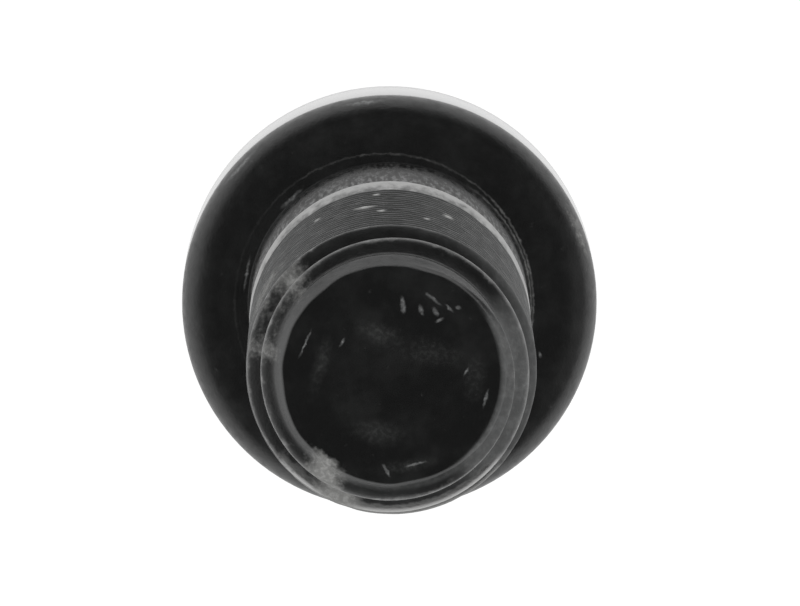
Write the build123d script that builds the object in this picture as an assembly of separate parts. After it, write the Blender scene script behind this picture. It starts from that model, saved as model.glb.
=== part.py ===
# Socket head cap screw, M12 x 60, partly threaded: one forged and thread-rolled piece.
#
# The origin is the centre of the bearing face under the head. +Z runs along the shank to
# the point, and the head lies below the origin, so the screw stands on its head.
# Sizes are in millimetres and angles in degrees.

from build123d import *

import os
from math import radians, sqrt, tan

# Head
head_diameter = 18.0
head_height = 12.0
head_top_chamfer = 0.9
head_top_chamfer_angle = 45.0  # from the top face
head_lower_radius = 1.1  # rounding where the head's side meets the bearing face

# Hexagon socket
socket_across_flats = 10.0
socket_depth = 6.2
socket_floor_angle = 11.0  # slope of the shallow conical floor
socket_mouth_clearance = 0.15  # mouth countersink beyond the hexagon's corners
socket_mouth_angle = 30.0  # slope of the countersink

# Shank
nominal_diameter = 12.0
nominal_length = 60.0  # bearing face to the point's end face
under_head_fillet_radius = 0.6
shoulder_angle = 30.0  # from the axis, body down to the rolling diameter
neck_length = 2.0  # plain stretch at the rolling diameter, before the first incomplete turn

# Thread: ISO metric coarse, right hand, rolled
thread_pitch = 1.75
thread_length = 36.0  # full thread and point, measured back from the end face
runout_length = 4.0  # incomplete turns between the neck and the full thread
thread_start_angle = 30.0  # about the axis from +X, where the first crest meets the end face
crest_allowance = 0.12  # off the nominal diameter at the crests
flank_angle = 30.0  # each flank from the plane square to the axis
groove_overcut = 0.12  # how far the groove's tool reaches out past the crests
core_margin = 0.09  # how far the run-out core's end reaches in below the roots

# Point
point_diameter = 9.0  # of the flat end face
point_edge = 0.25  # bevel round the end face
point_angle = 23.0  # from the axis

# ISO thread form for this pitch: the pitch line lies 3/8 and the roots 17/24 of the full
# triangle's height below the nominal diameter
flank_slope = tan(radians(flank_angle))
triangle_height = thread_pitch / (2 * flank_slope)
crest_radius = (nominal_diameter - crest_allowance) / 2
pitch_radius = nominal_diameter / 2 - triangle_height * 3 / 8
root_radius = nominal_diameter / 2 - triangle_height * 17 / 24

# Heights along the axis
full_thread_start = nominal_length - thread_length
runout_start = full_thread_start - runout_length
shoulder_end = runout_start - neck_length
body_end = shoulder_end - (nominal_diameter / 2 - pitch_radius) / tan(radians(shoulder_angle))
point_edge_radius = point_diameter / 2 + point_edge
point_edge_height = nominal_length - point_edge
point_start = point_edge_height - (crest_radius - point_edge_radius) / tan(radians(point_angle))


def profile(points):
    """The half section in the XZ plane with these (radius, height) corners."""
    return make_face(Polyline(*[(r, 0, z) for r, z in points], close=True)).face()


def revolved(points):
    """A solid of revolution about Z from (radius, height) points."""
    return revolve(profile(points), Axis.Z)


def blank():
    """The headed blank: head, plain body, and the thread's crest outline up to the point.

    The head's lower rounding is drawn as two bevels through the middle of its arc.
    """
    head_radius = head_diameter / 2
    arc_middle = head_lower_radius * (1 - sqrt(0.5))
    chamfer_rise = head_top_chamfer * tan(radians(head_top_chamfer_angle))
    body_radius = nominal_diameter / 2
    half_section = profile(
        [
            (0, -head_height),
            (head_radius - head_top_chamfer, -head_height),
            (head_radius, -head_height + chamfer_rise),
            (head_radius, -head_lower_radius),
            (head_radius - arc_middle, -arc_middle),
            (head_radius - head_lower_radius, 0),
            (body_radius, 0),
            (body_radius, body_end),
            (pitch_radius, shoulder_end),
            (pitch_radius, runout_start),
            (crest_radius, full_thread_start),
            (crest_radius, point_start),
            (point_edge_radius, point_edge_height),
            (point_diameter / 2, nominal_length),
            (0, nominal_length),
        ]
    )
    head_to_body = half_section.vertices().sort_by_distance((body_radius, 0, 0))[0]
    return revolve(half_section.fillet_2d(under_head_fillet_radius, [head_to_body]), Axis.Z)


def socket():
    """The hexagon socket as punched: a prism, its shallow conical floor and its countersunk mouth."""
    flat_radius = socket_across_flats / 2
    corner_radius = socket_across_flats / sqrt(3)
    floor_height = -head_height + socket_depth
    floor_drop = flat_radius * tan(radians(socket_floor_angle))
    mouth_radius = corner_radius + socket_mouth_clearance
    mouth_depth = mouth_radius * tan(radians(socket_mouth_angle))
    hexagon = RegularPolygon(flat_radius, 6, major_radius=False)
    prism = extrude(Plane.XY.offset(-head_height) * hexagon, socket_depth)
    floor = revolved([(0, floor_height), (flat_radius, floor_height), (0, floor_height + floor_drop)])
    mouth = revolved([(0, -head_height), (mouth_radius, -head_height), (0, -head_height + mouth_depth)])
    return prism + floor + mouth


def groove_section(start):
    """The groove's section at the start of its sweep: a flat root between two flanks.

    Each flank is a straight edge weighted inversely to its ends' radii. Halfway along it in
    parameter is then halfway along a chord across the swept flank, which facets it evenly.
    """
    outer_radius = crest_radius + groove_overcut
    root_half_width = thread_pitch / 4 - (pitch_radius - root_radius) * flank_slope
    outer_half_width = thread_pitch / 4 + (outer_radius - pitch_radius) * flank_slope
    root_low = (root_radius, 0, start - root_half_width)
    root_high = (root_radius, 0, start + root_half_width)
    outer_low = (outer_radius, 0, start - outer_half_width)
    outer_high = (outer_radius, 0, start + outer_half_width)
    weights = [outer_radius, root_radius]
    edges = [
        Edge.make_line(root_low, root_high),
        Edge.make_bezier(root_high, outer_high, weights=weights),
        Edge.make_line(outer_high, outer_low),
        Edge.make_bezier(root_low, outer_low, weights=weights),
    ]
    return Face(Wire(edges))


def thread_groove():
    """The V-groove between the crests, swept along the right-hand helix turn by turn.

    It starts in the neck, inside the run-out core that the screw keeps, and runs out past
    the point. It is turned so that a crest meets the end face at the thread's start angle.
    """
    start = runout_start - thread_pitch / 2
    turns = int((nominal_length - start) / thread_pitch) + 2
    turns_to_start_angle = (nominal_length + thread_pitch / 2 - start) / thread_pitch
    centres = [(0, 0, start + turn * thread_pitch) for turn in range(turns)]
    path = Wire([Edge.make_helix(thread_pitch, thread_pitch, pitch_radius, center=c) for c in centres])
    groove = Solid.sweep(groove_section(start), path, is_frenet=True)
    return groove.rotate(Axis.Z, thread_start_angle - 360 * turns_to_start_angle)


def runout_core():
    """The stock that the groove leaves where it fades out towards the plain shank."""
    slope = (pitch_radius - root_radius) / runout_length
    tip_height = full_thread_start + core_margin / slope
    return revolved(
        [
            (0, body_end),
            (root_radius, body_end),
            (pitch_radius, shoulder_end),
            (pitch_radius, runout_start),
            (root_radius - core_margin, tip_height),
            (0, tip_height),
        ]
    )


def socket_head_cap_screw():
    """The finished screw: the blank with its socket punched and its thread rolled."""
    return blank() - socket() - (thread_groove() - runout_core())


os.makedirs("parts", exist_ok=True)
screw = socket_head_cap_screw()
screw.label = "socket_head_cap_screw"
export_step(screw, "parts/socket_head_cap_screw.step")
print("volume", round(screw.volume, 1), "solids", len(screw.solids()), "faces", len(screw.faces()))
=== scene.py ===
# Socket head cap screw, M12 x 60: black oxide steel, standing on its head.

import bpy
import numpy as np
from mathutils import Matrix, Vector


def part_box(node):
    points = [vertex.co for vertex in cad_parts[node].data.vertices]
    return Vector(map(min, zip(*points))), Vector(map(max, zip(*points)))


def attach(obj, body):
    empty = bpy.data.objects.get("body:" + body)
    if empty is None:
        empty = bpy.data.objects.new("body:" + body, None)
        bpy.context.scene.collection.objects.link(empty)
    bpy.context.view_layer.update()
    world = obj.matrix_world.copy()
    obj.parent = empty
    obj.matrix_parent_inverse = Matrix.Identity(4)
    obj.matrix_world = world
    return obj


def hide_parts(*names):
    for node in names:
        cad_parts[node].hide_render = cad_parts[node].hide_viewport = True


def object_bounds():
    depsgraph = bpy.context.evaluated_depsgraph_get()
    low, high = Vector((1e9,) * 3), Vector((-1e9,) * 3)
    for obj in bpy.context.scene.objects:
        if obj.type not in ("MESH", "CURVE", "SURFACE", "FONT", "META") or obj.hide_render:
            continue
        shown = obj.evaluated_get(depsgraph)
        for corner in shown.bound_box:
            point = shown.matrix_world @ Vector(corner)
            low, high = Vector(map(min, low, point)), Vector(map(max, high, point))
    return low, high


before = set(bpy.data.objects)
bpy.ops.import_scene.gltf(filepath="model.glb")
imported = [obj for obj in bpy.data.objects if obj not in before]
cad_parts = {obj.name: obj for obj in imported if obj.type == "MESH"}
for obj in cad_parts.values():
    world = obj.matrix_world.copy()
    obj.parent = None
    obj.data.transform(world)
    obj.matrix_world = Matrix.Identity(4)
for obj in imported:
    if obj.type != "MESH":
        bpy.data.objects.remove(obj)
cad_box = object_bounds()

# ---------------------------------------------------------------------------
# Head. Cold-headed from bar: a plain cylinder with a bevelled top and a rounded lower
# edge. The hexagon socket is punched into it, with a conical floor and a countersunk
# mouth. A small fillet carries it into the shank. All outlines are in millimetres.
# ---------------------------------------------------------------------------

MM = 0.001  # metres in a millimetre

columns = 132  # grid lines round the axis, a multiple of the hexagon's six corners
share = np.arange(columns + 1) / columns
angle = 2 * np.pi * share

head_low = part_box("socket_head_cap_screw")[0][2] / MM
head_radius = 9.0
head_top_bevel = 0.9
head_lower_radius = 1.5
fillet_ring_radius = 6.54  # where the bearing face meets the shallow fillet
body_radius = 6.0

socket_flat_radius = 5.0
socket_depth = 6.2
socket_floor_drop = 0.97
socket_mouth_radius = 5.92
socket_mouth_slope = 0.577  # a countersink of 30 degrees


def socket_surface():
    """Radius and height of the socket's rows, from the floor's middle out to the mouth.

    The hexagon's radius at an angle is the flat's distance over the cosine of the angle to
    the nearest flat's middle. Floor rows are the hexagon scaled about the axis on a shallow
    cone; wall rows are the full hexagon; the wall ends on the mouth's cone.
    """
    hexagon = socket_flat_radius / np.cos(np.mod(angle, np.pi / 3) - np.pi / 6)
    hexagon[-1] = hexagon[0]
    floor_height = head_low + socket_depth
    floor_r = np.array([0, 0.12, 0.35, 0.6, 0.8, 0.93, 0.985])[:, None] * hexagon
    floor_z = floor_height + socket_floor_drop * (1 - np.minimum(floor_r / socket_flat_radius, 1))
    rise = np.array([0.0, 0.01, 0.3, 0.7, 0.97, 1.0])[:, None]
    mouth_z = head_low + (socket_mouth_radius - hexagon) * socket_mouth_slope
    corner_roll = 0.03  # the wall starts this far below the floor's edge
    wall_low = floor_height - corner_roll
    wall_z = wall_low + (mouth_z - wall_low) * rise
    return np.vstack([floor_r, hexagon + 0 * rise]), np.vstack([floor_z, wall_z])


def rounded_outline(corners, steps):
    """Half outline through (radius, height, rounding) corners, as an (n, 2) array.

    Each corner is replaced by the arc tangent to its two sides; a rounding of 0 keeps it.
    """
    points = np.array([c[:2] for c in corners], float)
    roundings = [c[2] for c in corners[1:-1]]
    out = [points[:1]]
    for before, corner, after, rounding in zip(points[:-2], points[1:-1], points[2:], roundings):
        if rounding == 0:
            out.append(corner[None])
            continue
        a = (before - corner) / np.linalg.norm(before - corner)
        b = (after - corner) / np.linalg.norm(after - corner)
        half = np.arccos(np.clip(a @ b, -1, 1)) / 2
        centre = corner + (a + b) / np.linalg.norm(a + b) * rounding / np.sin(half)
        start = corner + a * rounding / np.tan(half) - centre
        end = corner + b * rounding / np.tan(half) - centre
        t = np.linspace(0, 1, steps + 1)[:, None]
        sweep = np.pi - 2 * half
        arc = (np.sin((1 - t) * sweep) * start + np.sin(t * sweep) * end) / np.sin(sweep)
        out.append(centre + arc)
    out.append(points[-1:])
    return np.vstack(out)


# ---------------------------------------------------------------------------
# Shank. The body is extruded down to the rolling diameter through a short cone, which
# leaves a plain neck below the first turns of the thread.
# ---------------------------------------------------------------------------

body_end = 16.4
neck_start = 18.0
neck_radius = 5.43

pitch = 1.75
turns = 22
screw_end = 60.0
crest_at_end = 0.15  # depth of the first crest below the end face, at angle 0
thread_top = screw_end - crest_at_end
thread_low = thread_top - pitch * (turns + 1)

head_and_shank = rounded_outline(
    [
        (socket_mouth_radius - 0.10, head_low + 0.06, 0),
        (socket_mouth_radius, head_low, 0.06),
        (head_radius - head_top_bevel, head_low, 0.15),
        (head_radius, head_low + head_top_bevel, 0.15),
        (head_radius, 0, head_lower_radius),
        (fillet_ring_radius, 0, 0.1),
        (body_radius + 0.12, 0.05, 0.1),
        (body_radius, 0.3, 0.12),
        (body_radius, body_end - 0.6, 0),
        (body_radius, body_end, 0.25),
        (neck_radius, neck_start, 0.2),
        (neck_radius, thread_low, 0),
    ],
    steps=9,
)

# ---------------------------------------------------------------------------
# Thread and point. The thread is rolled up out of the neck's stock: full turns with flat
# crests and round roots, a run-out at the neck, and low, unfilled crests on the point,
# which ends in a flat face that the cropping left slightly uneven.
# ---------------------------------------------------------------------------

runout_start = 20.0
full_crest_start = 22.5
full_root_start = 24.0
crest_radius = 5.97
root_radius = 4.86
crest_half_width = 0.126
flank_rise = 1.732  # radial drop of a flank for each millimetre along the axis
root_rounding = 0.18
crest_rounding = 0.12

first_crest_radius = 5.0  # where the cone over the point's low crests meets the end's plane
point_slope = 0.33  # growth of that cone's radius for each millimetre down
point_length = (crest_radius - first_crest_radius) / point_slope
low_crest_half_width = 0.16
low_crest_rounding = 0.20
low_crest_fade = 0.35  # depth over which the low crest dies away towards the end face
full_ridge = 0.25  # a ridge this high is rubbed as a full crest
rubbed_depth = 0.12  # how far down from a crest's top the rubbing reaches
filling_length = 0.8  # the stretch below the point over which the crests fill up

end_face_radius = 4.385
taper_radius = 4.54
taper_height = 0.7
closing_depth = 0.60  # the hollow above the first crest closes where the crest is this deep
closing_over = 0.25


def soft_max(a, b, k):
    """Larger of a and b, with the corner between them rounded over a width k."""
    h = np.clip(0.5 + 0.5 * (a - b) / k, 0, 1)
    return b * (1 - h) + a * h + k * h * (1 - h)


def soft_min(a, b, k):
    """Smaller of a and b, with the corner between them rounded over a width k."""
    return -soft_max(-a, -b, k)


def smooth_step(x):
    """0 below 0, 1 above 1, and 3x^2 - 2x^3 between."""
    x = np.clip(x, 0, 1)
    return x * x * (3 - 2 * x)


def end_edge_radius():
    """Radius of the end face's edge by angle: a circle set off centre, with small waves.

    It steps in a little where the first crest meets it, at angle 0.
    """
    off_centre = -0.010 * np.cos(angle) - 0.035 * np.sin(angle)
    waves = 0.016 * np.sin(7 * angle + 1.0) + 0.013 * np.sin(12 * angle + 2.2) + 0.010 * np.sin(19 * angle)
    from_start = np.mod(angle + np.pi, 2 * np.pi) - np.pi
    step = -0.075 * np.exp(-((from_start / 0.45) ** 2))
    return end_face_radius + off_centre + waves + step


def uneven(height):
    """Small swells of the rolled crests: three sines of angle and height, whole waves round the axis."""
    return (
        0.010 * np.sin(23 * angle + 3.1 * height)
        + 0.009 * np.sin(31 * angle - 5.3 * height + 1)
        + 0.008 * np.sin(13 * angle + 7.7 * height + 2)
    )


def core_radius(height):
    """Radius under the crests: the neck, falling over the run-out to the roots, and the end's taper."""
    depth = screw_end - height
    root_fill = np.clip((height - runout_start) / (full_root_start - runout_start), 0, 1)
    core = neck_radius + (root_radius - neck_radius) * root_fill
    edge = end_edge_radius() - end_face_radius
    down_taper = np.clip((depth - crest_at_end) / (taper_height - crest_at_end), 0, 1)
    taper = taper_radius + edge * (1 - down_taper) + (root_radius - taper_radius) * down_taper
    return np.where(depth < taper_height, taper, core)


def closed_hollow(radius, depth):
    """The radius with the hollow above the first crest closed, where that crest nears the end.

    The hollow closes to the straight line from the end face's edge out to the crest's top.
    """
    crest_depth = crest_at_end + pitch * (1 - share)
    crest_top = taper_radius + (first_crest_radius - taper_radius) * smooth_step(crest_depth / low_crest_fade)
    straight = end_face_radius + (crest_top - end_face_radius) * depth / crest_depth
    above_crest = depth < crest_depth - 0.001
    closing = smooth_step((closing_depth - crest_depth) / closing_over) * above_crest
    return radius + np.maximum(straight - radius, 0) * closing


def thread_surface(height):
    """Radius of the rolled thread and its nearness to a crest's top, by height and angle.

    Two straight 60-degree flanks fall from a flat crest to a rounded root. The crest fills
    up from the neck over the run-out, and dies away over the point, where it is a low
    narrow ridge on a plain taper. The crest's centre climbs one pitch a turn.
    """
    off_crest = np.mod(height - thread_top - pitch * share + pitch / 2, pitch) - pitch / 2
    depth = screw_end - height
    core = core_radius(height)
    crest_fill = np.clip((height - runout_start) / (full_crest_start - runout_start), 0, 1)
    outline = neck_radius + (crest_radius - neck_radius + uneven(height)) * crest_fill
    low_crest = first_crest_radius + point_slope * np.minimum(depth, point_length)
    low_crest = core + (low_crest - core) * smooth_step(depth / low_crest_fade)
    outline = np.minimum(outline, low_crest)
    filled = smooth_step((depth - point_length) / filling_length)
    half_width = low_crest_half_width + (crest_half_width - low_crest_half_width) * filled
    rounding = low_crest_rounding + (crest_rounding - low_crest_rounding) * filled
    peak = np.where(depth < point_length + filling_length, low_crest, crest_radius)
    flank = peak - flank_rise * (np.abs(off_crest) - half_width)
    radius = soft_min(soft_max(flank, core, root_rounding), outline, rounding)
    radius = closed_hollow(radius, depth)
    ridge = smooth_step((outline - core) / full_ridge)
    crest = ridge * smooth_step(1.1 - (outline - radius) / rubbed_depth)
    return radius, crest


def thread_heights():
    """Heights of the thread's rows: a wedge, the climbing rows of all turns, and a wedge.

    A climbing row gains one pitch in a turn, so its last point is the first point of the row
    one pitch further up. Each wedge fans one pitch of rows out of a level ring, so that the
    thread starts and ends on plain rings.
    """
    half_pitch = np.array([0, 0.03, 0.07, 0.11, 0.13, 0.15, 0.17, 0.20, 0.32, 0.52, 0.64, 0.73, 0.81])
    steps = np.concatenate([half_pitch, [pitch / 2], pitch - half_pitch[:0:-1]])
    climbing = (pitch * np.arange(turns)[:, None] + steps).reshape(-1, 1)
    low_wedge = thread_low + steps[:, None] * share
    middle = thread_low + climbing + pitch * share
    fan_from = thread_top - pitch + np.append(steps, pitch)[:, None]
    high_wedge = fan_from * (1 - share) + thread_top * share
    return np.vstack([low_wedge, middle, high_wedge])


def end_surface(thread_end):
    """Rows over the point's rounded edge and in across the end face to its middle.

    The edge is a quadratic curve from the thread's last ring to the face's edge, tangent to
    the taper below it and to the face; the face's rows are that edge scaled about the axis.
    """
    edge = end_edge_radius()
    taper_slope = (root_radius - taper_radius) / (taper_height - crest_at_end)
    corner = thread_end - crest_at_end * taper_slope
    t = np.linspace(0, 1, 7)[1:, None]
    edge_r = thread_end * (1 - t) ** 2 + 2 * corner * t * (1 - t) + edge * t**2
    edge_z = thread_top + crest_at_end * (1 - (1 - t) ** 2) + 0 * share
    inward = np.array([0.985, 0.93, 0.8, 0.55, 0.25, 0])[:, None]
    return np.vstack([edge_r, edge * inward]), np.vstack([edge_z, screw_end + 0 * inward * share])


# ---------------------------------------------------------------------------
# The screw as one closed skin: the rows of the socket, the head and shank, the thread and
# the end face follow each other from the socket's floor to the point. Points that fall
# together are welded, and faces that this shrinks to a line are left out.
# ---------------------------------------------------------------------------

socket_r, socket_z = socket_surface()
shank_r = head_and_shank[:, :1] + 0 * share
shank_z = head_and_shank[:, 1:] + 0 * share
thread_z = thread_heights()
thread_r, thread_crest = thread_surface(thread_z)
end_r, end_z = end_surface(thread_r[-1])

radius = np.vstack([socket_r, shank_r[:-1], thread_r, end_r])
height = np.vstack([socket_z, shank_z[:-1], thread_z, end_z])
crest = np.zeros_like(radius)
first_thread_row = len(socket_r) + len(shank_r) - 1
crest[first_thread_row : first_thread_row + len(thread_r)] = thread_crest

places = np.stack([radius * np.cos(angle), radius * np.sin(angle), height], axis=-1).reshape(-1, 3) * MM
_, first_use, weld = np.unique(np.round(places, 8) + 0.0, axis=0, return_index=True, return_inverse=True)
weld = weld.reshape(radius.shape)
quads = np.stack([weld[:-1, :-1], weld[:-1, 1:], weld[1:, 1:], weld[1:, :-1]], axis=-1).reshape(-1, 4)
faces = [list(dict.fromkeys(quad)) for quad in quads.tolist()]
faces = [corners for corners in faces if len(corners) > 2]

mesh = bpy.data.meshes.new("screw")
mesh.from_pydata(places[first_use].tolist(), [], faces)
mesh.update()
mesh.shade_smooth()
mesh.set_sharp_from_angle(angle=np.radians(50))
screw = bpy.data.objects.new("screw", mesh)
bpy.context.scene.collection.objects.link(screw)

# ---------------------------------------------------------------------------
# Wear and painted light, as attributes of the skin. The crests and the cone below the thread are rubbed to
# grey steel, the turns are faded to a greyer coat, and a few patches are scuffed dull.
# Painted light: the flank at the right of the point and the left and right of the turns are
# made lighter as if lit from there, and the bearing face holds painted highlight lines round the fillet.
# ---------------------------------------------------------------------------


def patch(at_angle, at_height, angle_spread, height_spread, lean=0.0):
    """A soft spot on the skin: exp(-(a/A)^2 - (h/H)^2), degrees and millimetres off its centre.

    It leans by a number of degrees for each millimetre up.
    """
    middle = at_angle + lean * (height - at_height)
    off_angle = np.mod(np.degrees(angle) - middle + 180, 360) - 180
    return np.exp(-((off_angle / angle_spread) ** 2) - ((height - at_height) / height_spread) ** 2)


def band(values, low, high, soft):
    """1 where values lie between low and high, falling to 0 over a width soft outside."""
    return smooth_step((values - low) / soft + 1) * smooth_step((high - values) / soft + 1)


highlight_ring_radius = 7.6  # of the bearing face, as far as the painted highlight lines go
wear_inner_radius = 4.42  # just outside the end face's edge, where the point's wear starts

on_bearing_plane = np.abs(height) < 0.2
on_bearing = band(radius, body_radius + 0.1, highlight_ring_radius, 0.1) * on_bearing_plane
on_side = (radius > head_radius - 0.01) * 1.0
on_shank = radius < body_radius + 0.05
on_body = on_shank * band(height, 0.3, body_end - 0.2, 0.2)
on_cone = on_shank * band(height, body_end, neck_start, 0.25)
on_turns = on_shank * band(height, full_crest_start, screw_end - point_length - 0.6, 0.8)
on_point = band(height, screw_end - point_length, screw_end, 0.6)
on_end = (height > screw_end - 0.01) * (radius < end_edge_radius() - 0.01)

sideways = np.abs(np.cos(angle))  # 1 at the left and right, 0 at the front and back
front_side = smooth_step((-np.sin(angle) - 0.45) / 0.35)
right_side = smooth_step((np.cos(angle + 0.2) - 0.62) / 0.26)

outer_turn = band(height, screw_end - 5.0, screw_end - 1.7, 0.4) * smooth_step((radius - 5.35) / 0.25)
cone_rub = on_cone * (0.78 - (0.42 + 0.50 * sideways) * (height - body_end))
rubbed = np.maximum(crest * (0.11 + 0.14 * on_point), cone_rub)
rubbed = np.maximum(rubbed, 0.85 * front_side * outer_turn)

# painted light: the first flank is painted lighter at the right of the point, where light falls on it, the
# turns lighter at their left and right, and the taper lighter except at its right and top; the even part of
# the turns' fade is a greyer worn coat
first_flank = band(height, screw_end - 2.3, screw_end - 0.1, 0.3)
first_flank = first_flank * smooth_step((radius - wear_inner_radius) / 0.12)
faded_and_lit = first_flank * (0.90 * right_side + 0.07 * front_side)
faded_and_lit = faded_and_lit + (0.18 + 0.65 * sideways) * on_turns
on_taper = band(height, screw_end - 0.65, screw_end - 0.1, 0.1)
on_taper = on_taper * smooth_step((radius - wear_inner_radius) / 0.08)
on_taper = on_taper * smooth_step((root_radius - 0.02 - radius) / 0.12)
faded_and_lit = faded_and_lit + 0.30 * on_taper * (1 - right_side) * smooth_step((0.75 - np.sin(angle)) / 0.4)
faded_and_lit = faded_and_lit + 0.04 * on_bearing_plane

scuffs = [  # strength, angle, height, spread in degrees, spread in height, lean, from radius
    (1.25, 242, screw_end - 1.4, 10.5, 2.1, -6.0, 4.3),
    (0.80, 137, screw_end - 2.0, 7.5, 1.4, 0.0, 4.6),
    (0.80, 170, screw_end - 1.6, 5.0, 1.3, 0.0, 4.6),
    (0.35, 153, screw_end - 1.8, 14.0, 1.3, 0.0, 4.6),
    (0.60, 21, -0.8, 9.0, 0.4, 0.0, 8.5),
]
scuffed = 0.7 * patch(152, 48.0, 14.0, 8.0) * on_shank * smooth_step((radius - 5.5) / 0.3)
for strength, at_angle, at_height, angle_spread, height_spread, lean, least_radius in scuffs:
    spot = patch(at_angle, at_height, angle_spread, height_spread, lean)
    scuffed = scuffed + strength * spot * (radius > least_radius)

marks = {
    "bearing": on_bearing,
    "rubbed": rubbed,
    "faded_and_lit": faded_and_lit,
    "scuffed": scuffed,
    "drawn": on_side,
    "grained": 1 - 0.9 * on_side - 0.4 * on_end,
    "body": on_body + 0.35 * on_side,
    "rolled": crest * on_turns,
}
for name, values in marks.items():
    attribute = mesh.attributes.new(name, "FLOAT", "POINT")
    attribute.data.foreach_set("value", (values + 0 * radius).ravel()[first_use].astype(np.float32))

# ---------------------------------------------------------------------------
# Finish. Black oxide on steel, oiled and satin: mottled, streaked along the drawn body,
# bare grey steel where it is rubbed, dull where it is scuffed, with smudges and nicks on
# the end face and fine scratches on the turns. Painted light is laid on top: a lighter grey where the
# point's right flank and the turns' sides are lit, and painted highlight lines round the fillet.
# ---------------------------------------------------------------------------


def add_node(tree, kind, inputs=(), **settings):
    """Add a shader node; inputs maps socket names to plain values or to sockets to link."""
    node = tree.nodes.new("ShaderNode" + kind)
    for name, value in settings.items():
        setattr(node, name, value)
    for name, value in dict(inputs).items():
        if isinstance(value, bpy.types.NodeSocket):
            tree.links.new(value, node.inputs[name])
        else:
            node.inputs[name].default_value = value
    return node


def combine(tree, operation, first, second=None):
    """Two numbers, or a number alone, joined by a math operation."""
    inputs = {0: first} if second is None else {0: first, 1: second}
    return add_node(tree, "Math", inputs, operation=operation).outputs[0]


def combine_vectors(tree, operation, first, second):
    """Two vectors joined by a vector operation."""
    return add_node(tree, "VectorMath", {0: first, 1: second}, operation=operation).outputs[0]


def vector_length(tree, vector):
    """The length of a vector."""
    return add_node(tree, "VectorMath", {0: vector}, operation="LENGTH").outputs["Value"]


def soft_mask(tree, value, at_zero, at_one):
    """0 where the value is at_zero, 1 where it is at_one, and a smooth step between."""
    inputs = {"Value": value, "From Min": at_zero, "From Max": at_one}
    return add_node(tree, "MapRange", inputs, interpolation_type="SMOOTHSTEP").outputs["Result"]


def new_group(name, inputs):
    """A shader node group with float or vector inputs and a mask as its output."""
    tree = bpy.data.node_groups.new(name, "ShaderNodeTree")
    for socket, kind in inputs.items():
        tree.interface.new_socket(socket, in_out="INPUT", socket_type="NodeSocket" + kind)
    tree.interface.new_socket("Mask", in_out="OUTPUT", socket_type="NodeSocketFloat")
    return tree, tree.nodes.new("NodeGroupInput").outputs, tree.nodes.new("NodeGroupOutput").inputs["Mask"]


grain_group, given, mask = new_group(
    "grain mask", {"Vector": "Vector", "Scale": "Float", "Add": "Float", "Low": "Float", "High": "Float"}
)
noise_inputs = {"Vector": given["Vector"], "Scale": given["Scale"], "Detail": 3.0, "Roughness": 0.6}
noise = add_node(grain_group, "TexNoise", noise_inputs).outputs["Fac"]
total = combine(grain_group, "ADD", noise, given["Add"])
grain_group.links.new(soft_mask(grain_group, total, given["Low"], given["High"]), mask)

nick_group, given, mask = new_group(
    "nick", {"Vector": "Vector", "Place": "Vector", "Turn": "Float", "Half Size": "Vector"}
)
away = combine_vectors(nick_group, "SUBTRACT", given["Vector"], given["Place"])
turn_inputs = {"Vector": away, "Angle": given["Turn"]}
turned = add_node(nick_group, "VectorRotate", turn_inputs, rotation_type="Z_AXIS").outputs[0]
scaled = combine_vectors(nick_group, "DIVIDE", turned, given["Half Size"])
nick_group.links.new(soft_mask(nick_group, vector_length(nick_group, scaled), 1.0, 0.1), mask)

ring_group, given, mask = new_group(
    "ring mark", {"Vector": "Vector", "Centre": "Vector", "Radius": "Float", "Half Width": "Float"}
)
away = combine_vectors(ring_group, "SUBTRACT", given["Vector"], given["Centre"])
level = combine_vectors(ring_group, "MULTIPLY", away, (1.0, 1.0, 0.0))
off_ring = combine(ring_group, "SUBTRACT", vector_length(ring_group, level), given["Radius"])
off_ring = combine(ring_group, "ABSOLUTE", off_ring)
ring_group.links.new(soft_mask(ring_group, off_ring, given["Half Width"], 0.0), mask)

oxide_dark = (0.0100, 0.0104, 0.0103, 1)
oxide_light = (0.0190, 0.0198, 0.0194, 1)
smudge_grey = (0.052, 0.054, 0.052, 1)
streak_grey = (0.068, 0.068, 0.067, 1)
# a greyer worn coat, and painted light on the lit sides of the point and the turns
faded_and_lit_grey = (0.145, 0.148, 0.147, 1)
# painted highlight: the lines round the fillet
fillet_highlight_grey = (0.24, 0.24, 0.235, 1)
nick_grey = (0.24, 0.245, 0.245, 1)
bare_steel = (0.34, 0.34, 0.336, 1)
scuff_dark = (0.28, 0.28, 0.272, 1)
scuff_light = (0.42, 0.42, 0.41, 1)
scratch_light = (0.65, 0.65, 0.64, 1)

steel = bpy.data.materials.new("black oxide")
steel.use_nodes = True
tree = steel.node_tree
bsdf = tree.nodes["Principled BSDF"]
place = add_node(tree, "TexCoord").outputs["Object"]
place_x = add_node(tree, "SeparateXYZ", {0: place}).outputs["X"]

wobble = add_node(tree, "TexNoise", {"Vector": place, "Scale": 4500.0, "Detail": 2.0}).outputs["Color"]
wobble = combine_vectors(tree, "SUBTRACT", wobble, (0.5, 0.5, 0.5))
wobble = add_node(tree, "VectorMath", {0: wobble, "Scale": 0.16 * MM}, operation="SCALE").outputs[0]
bent_place = combine_vectors(tree, "ADD", place, wobble)


def grain_mask(scale, add, low, high, at=place):
    """Noise plus a value, taken from 0 at low to 1 at high."""
    inputs = {"Vector": at, "Scale": scale, "Add": add, "Low": low, "High": high}
    return add_node(tree, "Group", inputs, node_tree=grain_group).outputs["Mask"]


def nick(x, y, z, direction, length, width, deep=0.4):
    """A long spot at a place in millimetres, its length along a direction in degrees."""
    inputs = {
        "Vector": bent_place,
        "Place": (x * MM, y * MM, z * MM),
        "Turn": -np.radians(direction),
        "Half Size": (length / 2 * MM, width / 2 * MM, deep * MM),
    }
    return add_node(tree, "Group", inputs, node_tree=nick_group).outputs["Mask"]


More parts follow.
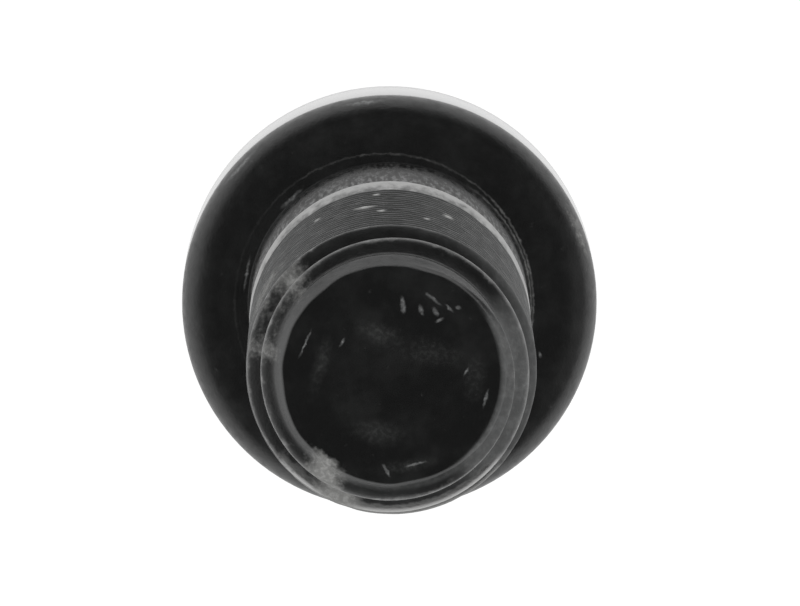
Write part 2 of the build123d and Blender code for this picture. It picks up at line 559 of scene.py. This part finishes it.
def ring_mark(x, y, ring_radius, half_width):
    """A thin ring on the bearing face, in millimetres."""
    inputs = {
        "Vector": bent_place,
        "Centre": (x * MM, y * MM, 0),
        "Radius": ring_radius * MM,
        "Half Width": half_width * MM,
    }
    return add_node(tree, "Group", inputs, node_tree=ring_group).outputs["Mask"]


def from_left(left, right, at_left, at_right):
    """A value that goes from at_left to at_right between two distances to the right, in millimetres."""
    inputs = {
        "Value": place_x,
        "From Min": left * MM,
        "From Max": right * MM,
        "To Min": at_left,
        "To Max": at_right,
    }
    return add_node(tree, "MapRange", inputs).outputs["Result"]


def times(first, second):
    """Product of two masks, either of which may be a plain number."""
    return combine(tree, "MULTIPLY", first, second)


def strongest(masks):
    """The largest of several masks."""
    result = masks[0]
    for other in masks[1:]:
        result = combine(tree, "MAXIMUM", result, other)
    return result


def blend(kind, share_of_second, first, second):
    """Mix two colours (RGBA) or two numbers (FLOAT)."""
    first_input, result = {"RGBA": (6, 2), "FLOAT": (2, 0)}[kind]
    inputs = {0: share_of_second, first_input: first, first_input + 1: second}
    return add_node(tree, "Mix", inputs, data_type=kind).outputs[result]


def between(low, high, mask):
    """A number that goes from low to high with a mask."""
    return blend("FLOAT", mask, low, high)


def attribute_value(name):
    """A float attribute of the skin."""
    return add_node(tree, "Attribute", attribute_name=name).outputs["Fac"]


mottle = grain_mask(520.0, 0.0, 0.40, 0.72)
fine_mottle = grain_mask(2600.0, 0.0, 0.40, 0.75)
speckle = grain_mask(5200.0, 0.0, 0.42, 0.66)
along_shank = combine_vectors(tree, "MULTIPLY", place, (1.0, 1.0, 0.06))
streaks = grain_mask(5600.0, 0.0, 0.38, 0.62, at=along_shank)
bare = grain_mask(1900.0, attribute_value("rubbed"), 0.66, 1.22)
dull = grain_mask(3000.0, attribute_value("scuffed"), 0.66, 1.46)
# a greyer worn coat, and painted light on the lit sides of the point and the turns
faded_coat_and_painted_light = times(attribute_value("faded_and_lit"), between(0.75, 1.2, fine_mottle))
body_streaks = times(attribute_value("body"), streaks)
body_matt = times(attribute_value("body"), between(0.15, 1.0, streaks))

# nicks, scratches and smudges: x, y, z, direction, length, width and how deep they reach
nicks = [
    nick(0.47, 2.83, screw_end, 98, 0.90, 0.30),
    nick(1.21, 2.63, screw_end, 110, 0.56, 0.27),
    nick(1.70, 3.08, screw_end, -38, 1.00, 0.20),
    nick(1.80, 2.54, screw_end, -50, 0.50, 0.25),
    nick(1.98, 2.20, screw_end, 20, 0.50, 0.20),
    nick(2.36, 2.68, screw_end, -44, 0.60, 0.16),
    nick(2.72, 2.72, screw_end, -20, 0.34, 0.20),
    nick(-3.52, 1.25, screw_end, 66, 1.60, 0.12),
    nick(-2.02, 1.30, screw_end, 60, 0.52, 0.18),
    nick(0.95, -3.70, screw_end, 12, 1.10, 0.16),
    nick(-0.20, -3.95, screw_end, -60, 0.75, 0.18),
    nick(3.05, 0.10, screw_end, 60, 0.50, 0.16),
    nick(3.85, -1.00, screw_end, 75, 0.95, 0.18),
    nick(5.45, -0.58, screw_end - 1.9, 80, 0.40, 0.30),
    nick(-1.00, 5.36, screw_end - 1.4, 11, 0.60, 0.26, 0.35),
    nick(-0.60, -5.14, screw_end - 0.65, -6, 0.60, 0.20, 0.35),
    nick(-1.12, 8.68, -0.67, 7, 2.20, 0.26, 0.5),
    nick(-6.46, 5.90, -0.67, 48, 2.60, 0.22, 0.5),
    nick(-4.24, 4.56, 0, 43, 1.60, 0.25),
    nick(-6.17, 1.34, 0, 80, 1.90, 0.17),
    nick(6.52, -2.20, 0, 100, 0.40, 0.18),
]
nicked = times(strongest(nicks), between(0.45, 1.0, speckle))
scratches = [
    nick(-1.07, 5.90, 38.0, 10, 1.30, 0.60, 2.0),
    nick(-0.40, 5.96, 42.5, 4, 0.60, 0.50, 1.4),
    nick(2.42, 5.48, 37.0, -24, 0.70, 0.55, 1.8),
    nick(-0.60, 5.96, 27.0, 6, 0.45, 0.50, 1.2),
    nick(1.50, 5.80, 46.0, -14, 0.40, 0.50, 1.2),
    nick(-3.10, 5.12, 33.0, 31, 0.50, 0.50, 1.2),
]
scratched = strongest(scratches)
smudges = [
    nick(1.55, 0.90, screw_end, -12, 3.4, 1.6),
    nick(-0.40, 1.60, screw_end, -20, 3.0, 1.2),
    nick(-0.60, -2.40, screw_end, -8, 3.2, 1.3),
    nick(3.40, -0.20, screw_end, 80, 2.6, 1.2),
    nick(-2.90, 0.40, screw_end, 75, 3.6, 0.8),
    nick(0.60, -3.75, screw_end, 8, 3.6, 0.7),
]
smudged = times(strongest(smudges), between(0.45, 1.0, mottle))
smudged = times(smudged, between(0.35, 1.0, speckle))

# two fine painted highlight lines round the fillet, brighter towards the right, where the light comes from
right_part = from_left(3.2, 5.2, 0.0, 1.0)
left_part = from_left(-5.5, -2.0, 0.25, 1.0)
outer_fillet_highlight = times(ring_mark(-0.23, 0.03, 6.47, 0.075), times(left_part, between(0.42, 1.0, right_part)))
inner_fillet_highlight = times(ring_mark(0.0, 0.0, 6.14, 0.07), right_part)
painted_fillet_highlights = times(strongest([outer_fillet_highlight, inner_fillet_highlight]), attribute_value("bearing"))
painted_fillet_highlights = times(painted_fillet_highlights, between(0.35, 1.0, fine_mottle))

# each layer of colour covers those before it by its mask
colour = blend("RGBA", mottle, oxide_dark, oxide_light)
colour_layers = [
    (smudged, smudge_grey),
    (body_streaks, streak_grey),
    # painted light on the lit sides of the point and the turns, and a greyer worn coat
    (faded_coat_and_painted_light, faded_and_lit_grey),
    # painted highlight lines round the fillet
    (painted_fillet_highlights, fillet_highlight_grey),
    (bare, bare_steel),
    (dull, blend("RGBA", speckle, scuff_dark, scuff_light)),
    (nicked, nick_grey),
    (scratched, scratch_light),
]
for cover, layer in colour_layers:
    colour = blend("RGBA", cover, colour, layer)
tree.links.new(colour, bsdf.inputs["Base Color"])

metallic = times(bare, combine(tree, "SUBTRACT", 1.0, dull))
tree.links.new(metallic, bsdf.inputs["Metallic"])

roughness = between(0.34, 0.46, fine_mottle)
roughness_layers = [
    (faded_coat_and_painted_light, 0.50),
    (body_matt, 0.85),
    (bare, 0.34),
    (attribute_value("rolled"), 0.60),
    (attribute_value("drawn"), 0.12),
    (dull, 0.60),
]
for cover, layer in roughness_layers:
    roughness = between(roughness, layer, cover)
tree.links.new(roughness, bsdf.inputs["Roughness"])
bsdf.inputs["IOR"].default_value = 1.6

fine_grain = add_node(tree, "TexNoise", {"Vector": place, "Scale": 9000.0, "Detail": 2.0}).outputs["Fac"]
coarse_grain = add_node(tree, "TexNoise", {"Vector": place, "Scale": 2200.0, "Detail": 3.0}).outputs["Fac"]
relief = times(between(coarse_grain, fine_grain, 0.35), attribute_value("grained"))
bump = add_node(tree, "Bump", {"Height": relief, "Distance": 0.02 * MM, "Strength": 1.0})
tree.links.new(bump.outputs["Normal"], bsdf.inputs["Normal"])

mesh.materials.append(steel)
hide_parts("socket_head_cap_screw")
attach(screw, "root")

# ---------------------------------------------------------------------------
# Floor: a wide white sheet just under the head, which shows white in the metal as well.
# Its glow is for the camera and for reflections, and its upper side alone is solid.
# ---------------------------------------------------------------------------

floor_half = 3.0
floor_gap = 0.02 * MM
floor_glow = 0.93
floor_grey = (0.25, 0.25, 0.25, 1)

floor_level = cad_box[0][2] - floor_gap
corner_signs = [(-1, -1), (1, -1), (1, 1), (-1, 1)]
floor_corners = [(x * floor_half, y * floor_half, floor_level) for x, y in corner_signs]
floor_mesh = bpy.data.meshes.new("floor")
floor_mesh.from_pydata(floor_corners, [], [(0, 1, 2, 3)])
floor = bpy.data.objects.new("floor", floor_mesh)
bpy.context.scene.collection.objects.link(floor)
white = bpy.data.materials.new("white floor")
white.use_nodes = True
white.node_tree.nodes.clear()
sheet = white.node_tree
path = add_node(sheet, "LightPath")
seen = combine(sheet, "MAXIMUM", path.outputs["Is Camera Ray"], path.outputs["Is Glossy Ray"])
glow = add_node(sheet, "Emission", {"Strength": combine(sheet, "MULTIPLY", seen, floor_glow)})
diffuse = add_node(sheet, "BsdfDiffuse", {"Color": floor_grey})
lit = add_node(sheet, "AddShader", {0: diffuse.outputs[0], 1: glow.outputs[0]})
clear = add_node(sheet, "BsdfTransparent")
under = add_node(sheet, "NewGeometry").outputs["Backfacing"]
one_sided = add_node(sheet, "MixShader", {0: under, 1: lit.outputs[0], 2: clear.outputs[0]})
add_node(sheet, "OutputMaterial", {"Surface": one_sided.outputs[0]})
floor_mesh.materials.append(white)

# ---------------------------------------------------------------------------
# Studio: white all round up to just above the floor's horizon, dark above it where the
# metal mirrors it, and an even dome for the light that the surfaces scatter. The white
# reaches higher at the left and at the front, and the camera sees nothing but white.
# ---------------------------------------------------------------------------

left_reach = -1.09  # how strongly the white rises towards -X
front_reach = -0.9  # and towards -Y
white_rise = 0.8
white_height = 0.12  # of the white where nothing raises it, as the Z of a direction
white_horizon = 0.02  # where the white starts to fade
dark_level = 0.03
dome_grey = (0.7, 0.7, 0.7, 1)

world = bpy.data.worlds.new("studio")
bpy.context.scene.world = world
world.use_nodes = True
world.node_tree.nodes.clear()
sky = world.node_tree
direction = add_node(sky, "SeparateXYZ", {0: add_node(sky, "TexCoord").outputs["Generated"]})


def towards(axis, reach):
    """A direction's part along an axis times a reach, kept between 0 and 1."""
    inputs = {0: direction.outputs[axis], 1: reach}
    return add_node(sky, "Math", inputs, operation="MULTIPLY", use_clamp=True).outputs[0]


lit_side = combine(sky, "MAXIMUM", towards("X", left_reach), towards("Y", front_reach))
lit_side = combine(sky, "POWER", lit_side, 3.0)
rise_inputs = {0: lit_side, 1: white_rise, 2: white_height}
white_up_to = add_node(sky, "Math", rise_inputs, operation="MULTIPLY_ADD").outputs[0]
studio_inputs = {
    "Value": direction.outputs["Z"],
    "From Min": white_horizon,
    "From Max": white_up_to,
    "To Min": 1.0,
    "To Max": dark_level,
}
studio_light = add_node(sky, "MapRange", studio_inputs).outputs[0]
rays = add_node(sky, "LightPath")
dome = {0: rays.outputs["Is Diffuse Ray"], 6: studio_light, 7: dome_grey}
scattered = add_node(sky, "Mix", dome, data_type="RGBA").outputs[2]
backdrop = {0: rays.outputs["Is Camera Ray"], 6: scattered, 7: (1, 1, 1, 1)}
shown = add_node(sky, "Mix", backdrop, data_type="RGBA").outputs[2]
background = add_node(sky, "Background", {"Color": shown})
add_node(sky, "OutputWorld", {"Surface": background.outputs[0]})

lamp_place = Vector((0.8, -0.05, 0.48))
lamp_aim = Vector((0, 0, 0.03))
lamp_data = bpy.data.lights.new("right lamp", "AREA")
lamp_data.size = 0.6
lamp_data.energy = 0.35
lamp = bpy.data.objects.new("right lamp", lamp_data)
lamp.location = lamp_place
lamp.rotation_euler = (lamp_aim - lamp_place).to_track_quat("-Z", "Y").to_euler()
bpy.context.scene.collection.objects.link(lamp)

# ---------------------------------------------------------------------------
# Camera: about a metre off and almost straight above the point, so that the shank leans
# slightly in the view and the head shows all round it.
# ---------------------------------------------------------------------------

stand_off = 1.05
lean_x = -0.0014
lean_y = 0.0479
frame_width = 0.03466  # what the view takes in at the bearing face
aim = Vector((0.459 * MM, 0.027 * MM, 0))
camera_data = bpy.data.cameras.new("camera")
camera_data.sensor_width = 36
camera_data.lens = camera_data.sensor_width * stand_off / frame_width
camera = bpy.data.objects.new("camera", camera_data)
camera.location = Vector((lean_x, lean_y, (1 - lean_x**2 - lean_y**2) ** 0.5)) * stand_off
back = (camera.location - aim).normalized()
right = Vector((0, 1, 0)).cross(back).normalized()
up = back.cross(right)
camera.rotation_euler = Matrix((right, up, back)).transposed().to_euler()
bpy.context.scene.collection.objects.link(camera)
bpy.context.scene.camera = camera
bpy.context.scene.view_settings.view_transform = "Standard"
